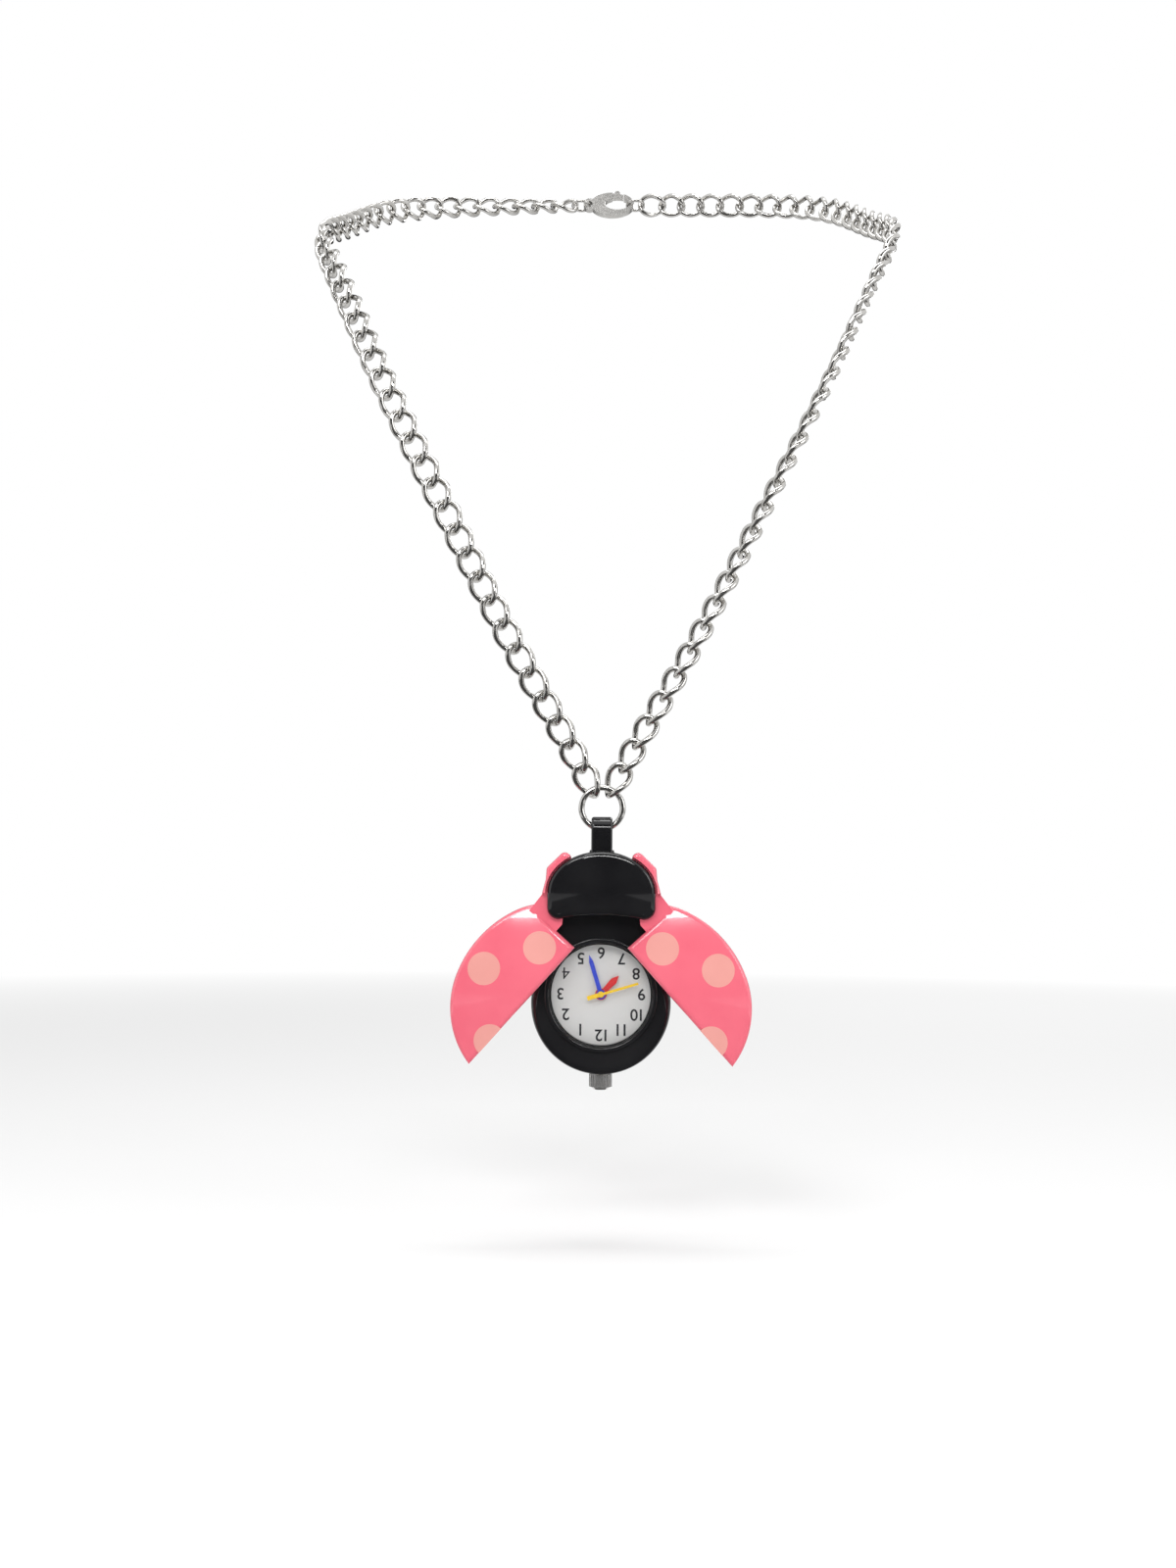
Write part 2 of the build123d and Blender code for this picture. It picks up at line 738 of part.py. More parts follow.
def wing_outline():
    """Draws one wing's outline."""
    with BuildLine() as outline:
        top = Line(wing_spot(0, 0), wing_spot(wing_shelf_width, 0))
        rise = Line(top @ 1, wing_spot(wing_top_width, -wing_top_rise))
        corner = wing_spot(wing_corner_width, wing_corner_drop)
        out = wing_spot(wing_width, wing_width_drop)
        flank = ThreePointArc(corner, out, wing_spot(wing_flank, wing_flank_drop))
        TangentArc(corner, rise @ 1, tangent=(flank % 0) * -1)
        lower = TangentArc(flank @ 1, wing_spot(0, wing_length), tangent=flank % 1)
        Line(lower @ 1, top @ 0)
        fillet(outline.vertices().sort_by(Axis.Y)[-1:], wing_top_round)
    make_face(outline.edges())


dome_middle = wing_plane(wing_front - wing_dome).from_local_coords((-hinge_half_span, -hinge_height, 0))

with BuildPart() as wing_hollow:
    with BuildSketch(wing_plane(wing_back - overrun)):
        wing_outline()
        offset(amount=-wing_wall, mode=Mode.REPLACE)
    extrude(amount=wing_front - wing_back + overrun)
    with Locations(dome_middle):
        Sphere(wing_dome - wing_wall, mode=Mode.INTERSECT)

with BuildPart() as spots_right:
    with BuildSketch(wing_plane(wing_back)):
        for fall_share, width_share in spot_shares:
            with Locations(wing_spot(width_share * wing_width, fall_share * wing_length)):
                Circle(spot_radius)
    extrude(amount=wing_front - wing_back + overrun)
    with BuildSketch(wing_plane(wing_back)):
        wing_outline()
    extrude(amount=wing_front - wing_back + overrun, mode=Mode.INTERSECT)
    with Locations(dome_middle):
        Sphere(wing_dome, mode=Mode.INTERSECT)
        Sphere(wing_dome - spot_depth, mode=Mode.SUBTRACT)
save(spots_right.part, "wing_spots_right")

with BuildSketch() as arm:
    with BuildLine():
        Polyline(
            (-arm_left, -arm_drop),
            (arm_right, -arm_drop),
            *placed(tab_shares, tab_height),
            (-hub_radius, 0),
            (-arm_left, -arm_drop / 2),
            close=True,
        )
    make_face()
    fillet(arm.vertices().sort_by(Axis.Y)[-3:], tab_round)
    Circle(hub_radius)

# The pinch tab stands up thick where it comes out from under the head cap
with BuildPart() as ear:
    with BuildSketch(wing_plane(arm_back)):
        add(arm.sketch)
    extrude(amount=tab_thickness)
    fillet(ear.faces().sort_by(Axis.Y)[0].edges(), tab_edge)
    with BuildSketch(face(arm_back)):
        head_outline(-tab_gap)
    extrude(amount=tab_thickness, mode=Mode.SUBTRACT)
    with BuildSketch(face(arm_back)):
        with Locations((0, head_shoulder)):
            Rectangle(2 * wing_length, 2 * tab_low, align=(Align.CENTER, Align.MAX))
    extrude(amount=tab_thickness, mode=Mode.SUBTRACT)

with BuildPart() as wing_right:
    with BuildSketch(wing_plane(wing_back)):
        wing_outline()
    extrude(amount=wing_front - wing_back + overrun)
    with Locations(dome_middle):
        Sphere(wing_dome, mode=Mode.INTERSECT)
    fillet(wing_right.faces().sort_by(Axis.Y)[0].edges(), wing_edge)
    add(wing_hollow.part, mode=Mode.SUBTRACT)
    with BuildSketch(wing_plane(arm_back)):
        add(arm.sketch)
    extrude(amount=arm_thickness)
    add(ear.part)
    with BuildSketch(wing_plane(arm_back)):
        Circle(pin_radius + pin_gap)
    extrude(amount=arm_thickness, mode=Mode.SUBTRACT)
    add(spots_right.part, mode=Mode.SUBTRACT)
save(wing_right.part, "wing_right")

with BuildPart() as wing_left:
    mirror(wing_right.part, about=Plane.YZ)
save(wing_left.part, "wing_left")

with BuildPart() as spots_left:
    mirror(spots_right.part, about=Plane.YZ)
save(spots_left.part, "wing_spots_left")

# Cover glass, its gasket and the raised ring round it
with BuildPart() as bezel_ring:
    with BuildSketch(face(seat_front)):
        Circle(bezel_outer)
        Circle(bezel_inner, mode=Mode.SUBTRACT)
    extrude(amount=bezel_front - seat_front)
    fillet(bezel_ring.faces().sort_by(Axis.Y)[0].edges(), bezel_round)
save(bezel_ring.part, "bezel_ring")

with BuildPart() as crystal:
    with BuildSketch(face(seat_front)):
        Circle(crystal_radius)
    extrude(amount=crystal_thickness)
    chamfer(crystal.faces().sort_by(Axis.Y)[0].edges(), crystal_edge)
save(crystal.part, "crystal")

with BuildPart() as crystal_gasket:
    with BuildSketch(face(seat_front)):
        Circle(bezel_inner)
        Circle(crystal_radius, mode=Mode.SUBTRACT)
    extrude(amount=gasket_height)
save(crystal_gasket.part, "crystal_gasket")

# Snap-on case back with its gasket and a notch to lift it by
with BuildPart() as case_back:
    with BuildSketch(face(-case_back_depth)):
        Circle(back_radius)
    extrude(amount=-back_thickness)
    fillet(case_back.faces().sort_by(Axis.Y)[-1].edges(), back_round)
    with BuildSketch(face(-case_back_depth)):
        Circle(back_lip_outer)
        Circle(back_lip_inner, mode=Mode.SUBTRACT)
    extrude(amount=back_lip_height)
    with BuildSketch(face(-case_back_depth - back_thickness)):
        with Locations((back_radius, 0)):
            Rectangle(back_notch, back_notch)
    extrude(amount=back_thickness / 2, mode=Mode.SUBTRACT)
save(case_back.part, "case_back")

with BuildPart() as back_gasket:
    with BuildSketch(face(-case_back_depth + back_gasket_height / 2)):
        Circle(case_bore)
        Circle(back_lip_outer, mode=Mode.SUBTRACT)
    extrude(amount=back_gasket_height)
save(back_gasket.part, "back_gasket")

# Dial and hands
with BuildPart() as dial:
    with BuildSketch(face(-dial_thickness)):
        Circle(dial_radius)
        Circle(dial_hole, mode=Mode.SUBTRACT)
    extrude(amount=dial_thickness)
save(dial.part, "dial")


def hand_plane(level, angle):
    """A plane at a level in front of the dial, whose Y runs along a hand."""
    way = math.radians(angle)
    centre = (0, dial_y - level, dial_z)
    return Plane(origin=centre, x_dir=(math.cos(way), 0, -math.sin(way)), z_dir=(0, -1, 0))


with BuildPart() as hour_hand:
    with BuildSketch(hand_plane(hour_level, hour_angle)):
        with BuildLine():
            Polyline(
                (-hour_width / 3, 0),
                (hour_width / 3, 0),
                (hour_width / 2, hour_length * hour_shoulder_share),
                (0, hour_length),
                (-hour_width / 2, hour_length * hour_shoulder_share),
                close=True,
            )
        make_face()
        Circle(hour_boss)
        Circle(hour_pipe_bore, mode=Mode.SUBTRACT)
    extrude(amount=hand_thickness)
save(hour_hand.part, "hour_hand")

with BuildPart() as minute_hand:
    with BuildSketch(hand_plane(minute_level, minute_angle)):
        with BuildLine():
            Polyline(
                (-minute_width / 2, 0),
                (minute_width / 2, 0),
                (minute_width / 2, minute_length * minute_shoulder_share),
                (0, minute_length),
                (-minute_width / 2, minute_length * minute_shoulder_share),
                close=True,
            )
        make_face()
        Circle(minute_boss)
        Circle(cannon_bore, mode=Mode.SUBTRACT)
    extrude(amount=hand_thickness)
save(minute_hand.part, "minute_hand")

with BuildPart() as second_hand:
    with BuildSketch(hand_plane(second_level, second_angle)):
        with Locations((0, second_length / 2)):
            Rectangle(second_width, second_length)
        with Locations((0, -second_tail / 2)):
            Rectangle(second_tail_width, second_tail)
        Circle(second_boss)
    extrude(amount=hand_thickness)
    with BuildSketch(face(second_level + hand_thickness)):
        Circle(second_cap_radius)
    extrude(amount=second_cap_height)
    with BuildSketch(face(second_level)):
        Circle(arbor_radius)
    extrude(amount=hand_thickness, mode=Mode.SUBTRACT)
save(second_hand.part, "second_hand")


def toothed(level, thickness, teeth, module, spot, first_tooth):
    """Adds a toothed disc behind the dial, with a tooth at an angle up from the right."""
    pitch_radius = teeth * module / 2
    root = pitch_radius - module
    tooth_width = tooth_share * math.pi * module
    with BuildSketch(face(-level - thickness)) as disc:
        with Locations(spot):
            Circle(root)
            with PolarLocations(pitch_radius - module / 4, teeth, start_angle=first_tooth):
                Rectangle(2 * module, tooth_width)
    extrude(disc.sketch, amount=thickness)


def rod(front_level, back_level, radius, spot, mode=Mode.ADD):
    """Adds or cuts a round rod between two levels behind the dial."""
    with BuildSketch(face(-back_level)) as disc:
        with Locations(spot):
            Circle(radius)
    extrude(disc.sketch, amount=back_level - front_level, mode=mode)


centre = (0, 0)
hand_distance = (cannon_teeth + minute_wheel_teeth) * hand_module / 2
third_distance = (second_pinion_teeth + third_teeth) * third_module / 2
fifth_distance = (second_teeth + fifth_pinion_teeth) * second_module / 2
rotor_distance = (fifth_teeth + rotor_pinion_teeth) * fifth_module / 2
minute_wheel_spot = polar(minute_wheel_direction, hand_distance)
third_spot = polar(third_direction, third_distance)
fifth_spot = polar(fifth_direction, fifth_distance)
rotor_spot = shifted(fifth_spot, polar(rotor_direction, rotor_distance))
hand_mesh = 180 + minute_wheel_direction
third_mesh = 180 + third_direction
fifth_mesh = 180 + fifth_direction
rotor_mesh = 180 + rotor_direction
print("minute wheel", minute_wheel_spot, "third", third_spot, "fifth", fifth_spot, "rotor", rotor_spot)

cannon_back = minute_wheel_level + hand_wheel_thickness
with BuildPart() as cannon_pinion:
    toothed(minute_wheel_level, hand_wheel_thickness, cannon_teeth, hand_module, centre,
            minute_wheel_direction)
    rod(-minute_level, cannon_back, cannon_radius, centre)
    rod(-minute_level, cannon_back, cannon_bore, centre, Mode.SUBTRACT)
save(cannon_pinion.part, "cannon_pinion")

with BuildPart() as hour_wheel:
    toothed(hour_wheel_level, hand_wheel_thickness, hour_wheel_teeth, hour_module, centre,
            minute_wheel_direction)
    rod(-hour_level, hour_wheel_level + hand_wheel_thickness, hour_pipe_radius, centre)
    rod(-hour_level - hand_thickness, hour_wheel_level + hand_wheel_thickness, hour_pipe_bore, centre,
        Mode.SUBTRACT)
save(hour_wheel.part, "hour_wheel")

with BuildPart() as minute_wheel:
    toothed(minute_wheel_level, hand_wheel_thickness, minute_wheel_teeth, hand_module,
            minute_wheel_spot, hand_mesh + 180 / minute_wheel_teeth)
    toothed(hour_wheel_level, hand_wheel_thickness, minute_pinion_teeth, hour_module,
            minute_wheel_spot, hand_mesh + 180 / minute_pinion_teeth)
    rod(hour_wheel_level + hand_wheel_thickness, minute_wheel_level, hour_module * 2, minute_wheel_spot)
    rod(minute_wheel_level, train_pocket_floor - pin_gap, pivot_radius, minute_wheel_spot)
save(minute_wheel.part, "minute_wheel")

with BuildPart() as centre_wheel:
    toothed(centre_level, wheel_thickness, centre_teeth, centre_module, centre, third_direction)
    rod(centre_level - pinion_overhang, centre_level + wheel_thickness, cannon_radius, centre)
    rod(centre_level - pinion_overhang, centre_level + wheel_thickness, cannon_bore, centre,
        Mode.SUBTRACT)
save(centre_wheel.part, "centre_wheel")

pinion_height = wheel_thickness + 2 * pinion_overhang
with BuildPart() as second_wheel:
    toothed(second_wheel_level, wheel_thickness, second_teeth, second_module, centre, fifth_direction)
    toothed(third_wheel_level - pinion_overhang, pinion_height, second_pinion_teeth, third_module,
            centre, third_direction)
    rod(-second_level - hand_thickness, bridge_level + bridge_thickness - pinion_overhang,
        arbor_radius, centre)
save(second_wheel.part, "second_wheel")

with BuildPart() as third_wheel:
    toothed(third_wheel_level, wheel_thickness, third_teeth, third_module, third_spot,
            third_mesh + 180 / third_teeth)
    toothed(centre_level - pinion_overhang, pinion_height, third_pinion_teeth, centre_module,
            third_spot, third_mesh + 180 / third_pinion_teeth)
    rod(train_pocket_floor - 2 * pinion_overhang, bridge_level + bridge_thickness - pinion_overhang,
        pivot_radius, third_spot)
save(third_wheel.part, "third_wheel")

with BuildPart() as fifth_wheel:
    toothed(fifth_wheel_level, wheel_thickness, fifth_teeth, fifth_module, fifth_spot, rotor_direction)
    toothed(second_wheel_level - pinion_overhang, pinion_height, fifth_pinion_teeth, second_module,
            fifth_spot, fifth_mesh + 180 / fifth_pinion_teeth)
    rod(train_pocket_floor - 2 * pinion_overhang, bridge_level + bridge_thickness - pinion_overhang,
        pivot_radius, fifth_spot)
save(fifth_wheel.part, "fifth_wheel")

with BuildPart() as rotor:
    rod(magnet_level, magnet_level + magnet_thickness, magnet_radius, rotor_spot)
    toothed(fifth_wheel_level - pinion_overhang, pinion_height, rotor_pinion_teeth, fifth_module,
            rotor_spot, rotor_mesh + 180 / rotor_pinion_teeth)
    rod(train_pocket_floor - 2 * pinion_overhang, bridge_level + bridge_thickness - pinion_overhang,
        pivot_radius, rotor_spot)
save(rotor.part, "rotor")

pillar_spots = placed(pillar_shares, movement_radius)
battery_spot = placed([battery_shares], movement_radius)[0]
board_low, board_high = placed([board_low_shares, board_high_shares], movement_radius)
chip_spot, can_spot = placed([chip_shares, can_shares], movement_radius)
lever_pivot = (lever_reach, -groove_place)

# Main plate: pockets for the hand work, train and battery, and three pillars
pivot_spots = (third_spot, fifth_spot, rotor_spot, minute_wheel_spot)
hand_pocket_radius = hand_distance + minute_wheel_teeth * hand_module / 2 + hand_pocket_wall
with BuildPart() as main_plate:
    rod(plate_front, plate_back, movement_radius, centre)
    rod(plate_front, hand_pocket_floor, hand_pocket_radius, centre, Mode.SUBTRACT)
    rod(train_pocket_floor, plate_back, train_pocket_radius, centre, Mode.SUBTRACT)
    rod(plate_front, plate_back, cannon_radius + pin_gap, centre, Mode.SUBTRACT)
    for spot in pivot_spots:
        rod(hand_pocket_floor, plate_back, pivot_radius + pin_gap, spot, Mode.SUBTRACT)
    rod(battery_back - battery_thickness, plate_back, battery_radius + battery_gap, battery_spot,
        Mode.SUBTRACT)
    for spot in pillar_spots:
        rod(plate_back, bridge_level, pillar_radius, spot)
        rod(bridge_level - screw_reach, bridge_level, screw_radius, spot, Mode.SUBTRACT)
    with BuildSketch(stem_plane(stem_inner - pinion_room)):
        Circle(sliding_pinion_radius + pinion_room)
    extrude(amount=sliding_pinion_length + crown_pull + 2 * pinion_room, mode=Mode.SUBTRACT)
save(main_plate.part, "main_plate")

with BuildPart() as movement_holder:
    rod(plate_front, holder_back, case_bore - holder_gap, centre)
    rod(plate_front, holder_back, movement_radius + holder_gap, centre, Mode.SUBTRACT)
    with BuildSketch(stem_plane(movement_radius - overrun)):
        Circle(stem_radius + stem_room)
    extrude(amount=case_bore - movement_radius + 2 * overrun, mode=Mode.SUBTRACT)
save(movement_holder.part, "movement_holder")

with BuildPart() as train_bridge:
    with BuildSketch(face(-bridge_level - bridge_thickness)):
        with BuildLine():
            Polyline(*placed(bridge_shares, movement_radius), close=True)
        make_face()
        with Locations(*pillar_spots):
            Circle(pillar_radius)
            Circle(screw_radius + pin_gap, mode=Mode.SUBTRACT)
        with Locations(centre):
            Circle(arbor_radius + pin_gap, mode=Mode.SUBTRACT)
        with Locations(third_spot, fifth_spot, rotor_spot):
            Circle(pivot_radius + pin_gap, mode=Mode.SUBTRACT)
    extrude(amount=bridge_thickness)
save(train_bridge.part, "train_bridge")

bridge_back = bridge_level + bridge_thickness
strap_back = bridge_back + strap_thickness
with BuildPart() as movement_screws:
    for spot in pillar_spots:
        head_level = strap_back if spot == pillar_spots[0] else bridge_back
        rod(bridge_level - screw_reach, head_level, screw_radius, spot)
        rod(head_level, head_level + screw_head_height, screw_head_radius, spot)
save(movement_screws.part, "movement_screws")

with BuildPart() as battery:
    rod(battery_back - battery_thickness, battery_back, battery_radius, battery_spot)
    chamfer(battery.faces().sort_by(Axis.Y)[0].edges(), battery_edge)
save(battery.part, "battery")

strap_run = Vector(*battery_spot) - Vector(*pillar_spots[0])
strap_middle = tuple(Vector(*pillar_spots[0]) + strap_run * 0.5)[:2]
strap_tilt = math.degrees(math.atan2(strap_run.Y, strap_run.X))
with BuildPart() as battery_strap:
    with BuildSketch(face(-strap_back)):
        with Locations(strap_middle):
            SlotCenterToCenter(strap_run.length, strap_width, rotation=strap_tilt)
        with Locations(pillar_spots[0]):
            Circle(screw_radius + pin_gap, mode=Mode.SUBTRACT)
    extrude(amount=strap_thickness)
save(battery_strap.part, "battery_strap")

board_middle = ((board_low[0] + board_high[0]) / 2, (board_low[1] + board_high[1]) / 2)
board_back = plate_back + board_thickness
with BuildPart() as circuit_board:
    with BuildSketch(face(-board_back)):
        with Locations(board_middle):
            Rectangle(board_high[0] - board_low[0], board_high[1] - board_low[1])
    extrude(amount=board_thickness)
save(circuit_board.part, "circuit_board")

with BuildPart() as chip:
    rod(board_back, board_back + chip_height, chip_radius, chip_spot)
save(chip.part, "chip")

can_y = dial_y + board_back + can_radius
can_start = can_spot[0] - can_length / 2
with BuildPart() as quartz_can:
    with BuildSketch(Plane(origin=(can_start, can_y, dial_z + can_spot[1]), z_dir=(1, 0, 0))):
        Circle(can_radius)
    extrude(amount=can_length)
save(quartz_can.part, "quartz_can")

# Stepping motor: stator plate, coil core laid on its ends, and the winding
core_level = stator_level + stator_thickness
coil_middle = core_level + core_thickness / 2
with BuildPart() as stator:
    with BuildSketch(face(-core_level)):
        with Locations(rotor_spot):
            Circle(stator_ring)
        for end_z in (core_low, core_high):
            inward = core_width / 2 if end_z < 0 else -core_width / 2
            end_spot = (coil_offset, end_z + inward)
            run = Vector(*end_spot) - Vector(*rotor_spot)
            middle = Vector(*rotor_spot) + run * 0.5
            tilt = math.degrees(math.atan2(run.Y, run.X))
            with Locations(Location((middle.X, middle.Y, 0), (0, 0, tilt))):
                Rectangle(run.length, stator_arm)
            with Locations(end_spot):
                Circle(core_width / 2)
        with Locations(rotor_spot):
            Circle(stator_bore, mode=Mode.SUBTRACT)
    extrude(amount=stator_thickness)
save(stator.part, "stator")

with BuildPart() as coil_core:
    with BuildSketch(face(-core_level - core_thickness)):
        with Locations((coil_offset, (core_low + core_high) / 2)):
            Rectangle(core_width, core_high - core_low)
    extrude(amount=core_thickness)
save(coil_core.part, "coil_core")

with BuildPart() as coil_winding:
    coil_foot = (coil_offset, dial_y + coil_middle, dial_z + coil_low)
    with BuildSketch(Plane(origin=coil_foot, z_dir=(0, 0, 1))):
        Circle(coil_radius)
        Rectangle(core_width, core_thickness, mode=Mode.SUBTRACT)
    extrude(amount=coil_high - coil_low)
save(coil_winding.part, "coil_winding")

# Crown, stem and what turns with them
crown_start = case_radius + case_shift + crown_gap
crown_end = crown_start + crown_length
with BuildPart() as crown:
    with BuildSketch(stem_plane(crown_start)):
        Circle(crown_radius)
        with PolarLocations(crown_radius, crown_flutes):
            Circle(flute_radius, mode=Mode.SUBTRACT)
    extrude(amount=crown_length)
    with BuildSketch(stem_plane(crown_end)):
        Circle(crown_radius - flute_radius)
    extrude(amount=crown_dome, taper=dome_taper)
    with BuildSketch(stem_plane(crown_start)):
        Circle(crown_recess_radius)
    extrude(amount=crown_recess_depth, mode=Mode.SUBTRACT)
    with BuildSketch(stem_plane(crown_start)):
        Circle(stem_radius)
    extrude(amount=crown_length - flute_radius, mode=Mode.SUBTRACT)
save(crown.part, "crown")

stem_end = crown_end - flute_radius
with BuildPart() as stem:
    with BuildSketch(stem_plane(stem_inner)):
        Circle(stem_radius)
    extrude(amount=stem_end - stem_inner)
    with BuildSketch(stem_plane(groove_place - groove_width / 2)):
        Circle(stem_radius)
        Circle(groove_radius, mode=Mode.SUBTRACT)
    extrude(amount=groove_width, mode=Mode.SUBTRACT)
save(stem.part, "winding_stem")

with BuildPart() as sliding_pinion:
    with BuildSketch(stem_plane(stem_inner)):
        Circle(sliding_pinion_radius)
        with PolarLocations(sliding_pinion_radius, sliding_pinion_teeth):
            Circle(sliding_pinion_radius / sliding_pinion_teeth, mode=Mode.SUBTRACT)
        Circle(stem_radius + pin_fit, mode=Mode.SUBTRACT)
    extrude(amount=sliding_pinion_length)
save(sliding_pinion.part, "sliding_pinion")

with BuildPart() as crown_oring:
    with BuildSketch(stem_plane(crown_start + crown_recess_depth - oring_thickness)):
        Circle(oring_outer)
        Circle(oring_bore, mode=Mode.SUBTRACT)
    extrude(amount=oring_thickness)
save(crown_oring.part, "crown_oring")

tube_end = crown_start + tube_stand
with BuildPart() as crown_tube:
    with BuildSketch(stem_plane(tube_end - tube_length)):
        Circle(tube_outer)
        Circle(tube_bore, mode=Mode.SUBTRACT)
    extrude(amount=tube_length)
save(crown_tube.part, "crown_tube")

# Setting lever, rocking on its pin with its tip in the stem's groove
with BuildPart() as setting_lever:
    with BuildSketch(face(-stem_level - lever_thickness / 2)):
        with Locations(lever_pivot):
            Circle(lever_radius)
        with Locations((lever_reach / 2 + groove_radius / 2, -groove_place)):
            Rectangle(lever_reach - groove_radius * 2, lever_width)
        with Locations(lever_pivot):
            Circle(lever_pin_radius + pin_gap, mode=Mode.SUBTRACT)
    extrude(amount=lever_thickness)
save(setting_lever.part, "setting_lever")

with BuildPart() as lever_pin:
    rod(plate_back, stem_level + lever_thickness, lever_pin_radius, lever_pivot)
save(lever_pin.part, "lever_pin")
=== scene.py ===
import math

import bpy
from mathutils import Matrix, Quaternion, Vector


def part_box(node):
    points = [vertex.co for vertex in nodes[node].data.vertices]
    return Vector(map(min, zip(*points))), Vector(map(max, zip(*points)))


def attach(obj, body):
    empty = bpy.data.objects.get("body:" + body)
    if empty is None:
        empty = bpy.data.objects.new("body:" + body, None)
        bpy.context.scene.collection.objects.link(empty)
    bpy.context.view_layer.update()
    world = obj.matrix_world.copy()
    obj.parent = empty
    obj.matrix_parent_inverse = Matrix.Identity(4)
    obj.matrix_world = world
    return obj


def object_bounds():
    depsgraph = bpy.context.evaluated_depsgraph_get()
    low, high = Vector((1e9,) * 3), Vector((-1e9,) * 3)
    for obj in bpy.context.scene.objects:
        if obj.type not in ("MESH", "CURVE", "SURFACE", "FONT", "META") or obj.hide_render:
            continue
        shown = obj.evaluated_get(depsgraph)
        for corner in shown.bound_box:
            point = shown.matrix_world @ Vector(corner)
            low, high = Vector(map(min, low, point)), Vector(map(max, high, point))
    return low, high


# A ladybird pendant watch on a curb chain. Metres, in the frame of the CAD model.
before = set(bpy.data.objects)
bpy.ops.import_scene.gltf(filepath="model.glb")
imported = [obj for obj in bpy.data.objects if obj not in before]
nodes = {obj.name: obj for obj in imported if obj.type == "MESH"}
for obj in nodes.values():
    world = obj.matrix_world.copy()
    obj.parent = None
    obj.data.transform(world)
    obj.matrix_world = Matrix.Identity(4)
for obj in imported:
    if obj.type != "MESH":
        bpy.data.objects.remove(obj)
cad_box = [list(corner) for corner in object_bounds()]
MM = 0.001

# Places read from the frame
dial_low, dial_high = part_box("dial")
dial_centre = Vector(((dial_low.x + dial_high.x) / 2, dial_low.y, (dial_low.z + dial_high.z) / 2))
dial_radius = (dial_high.x - dial_low.x) / 2
lowest = cad_box[0][2]

# Camera, at the photograph's viewing angle: millimetres of film, and degrees
camera_lens = 27.0
sensor_side = 36.0
camera_near = 0.01
camera_far = 20
camera_distance = 237 * MM
camera_azimuth = 0.5
camera_elevation = 3.9
camera_pitch = 10.13
camera_yaw = 0.62
camera_roll = 0.5

# Numbers on the dial. The digit's share is its height in a font of size one.
hour_step = 30.0
number_radius_share = 0.76
number_height = 2.3 * MM
number_boldness = 0.045 * MM
number_thickness = 0.02 * MM
number_spacing = 0.85
digit_share = 0.7
twelve_angle = 180.0

# Studio: the floor turns white between two distances from its middle
floor_level = lowest - 30 * MM
floor_size = 6.0
floor_near = 0.15
floor_far = 1.0
floor_grey = 0.86
floor_roughness = 0.6
world_light = 0.62
card_distance = 1.6
card_size = (3.2, 3.6)
card_grey = 0.05
low_card_place = (0, -0.8, floor_level + 2 * MM)
low_card_size = (0.5, 1.5)

# Soft lamps: name, place, width and height, power
lamps = (
    ("key", (-0.25, -0.60, 0.30), (0.30, 0.20), 1.5),
    ("fill", (0.60, -0.45, 0.05), (0.30, 0.30), 0.8),
    ("top", (0.0, -0.10, 0.45), (0.40, 0.12), 1.0),
    ("strip", (0.05, -0.62, 0.09), (0.36, 0.05), 1.1),
    ("rear", (0.30, 0.60, 0.30), (0.30, 0.30), 1.0),
)

# Scales of the materials' noise in units per metre, and heights of their relief
ramp_ends = (0.3, 0.7)
plate_cloud = 400
plate_scratches = 2500
enamel_cloud = 90
enamel_waves = 260
enamel_wave_height = 0.02 * MM
moulded_grain = 3000
moulded_height = 0.01 * MM
tool_marks = (300, 300, 9000)
lacquer_cloud = 1500
dial_grain = 9000
dial_grain_height = 0.005 * MM
glass_smears = 60


def turned(angle, length):
    """A step in the dial's plane, by its angle right of straight up."""
    return Vector((length * math.sin(math.radians(angle)), 0, length * math.cos(math.radians(angle))))


# Materials
def new_material(name, colour, roughness, metallic=0.0):
    """A material and its node tree, with a Principled shader set to plain values."""
    material = bpy.data.materials.new(name)
    material.use_nodes = True
    shader = material.node_tree.nodes["Principled BSDF"]
    shader.inputs["Base Color"].default_value = (*colour, 1)
    shader.inputs["Roughness"].default_value = roughness
    shader.inputs["Metallic"].default_value = metallic
    return material, shader


def noise(material, scale, detail=4.0):
    """A noise texture in the object's own coordinates, in units per metre."""
    tree = material.node_tree
    place = tree.nodes.new("ShaderNodeTexCoord")
    texture = tree.nodes.new("ShaderNodeTexNoise")
    texture.inputs["Scale"].default_value = scale
    texture.inputs["Detail"].default_value = detail
    tree.links.new(place.outputs["Object"], texture.inputs["Vector"])
    return texture.outputs["Fac"]


def spread(material, factor, low, high):
    """Maps a factor from 0..1 to a range."""
    tree = material.node_tree
    mapping = tree.nodes.new("ShaderNodeMapRange")
    mapping.inputs["To Min"].default_value = low
    mapping.inputs["To Max"].default_value = high
    tree.links.new(factor, mapping.inputs["Value"])
    return mapping.outputs["Result"]


def tinted(material, shader, factor, first, second):
    """Lets the base colour run between two colours by a factor."""
    tree = material.node_tree
    ramp = tree.nodes.new("ShaderNodeValToRGB")
    for element, position, colour in zip(ramp.color_ramp.elements, ramp_ends, (first, second)):
        element.position = position
        element.color = (*colour, 1)
    tree.links.new(factor, ramp.inputs["Fac"])
    tree.links.new(ramp.outputs["Color"], shader.inputs["Base Color"])


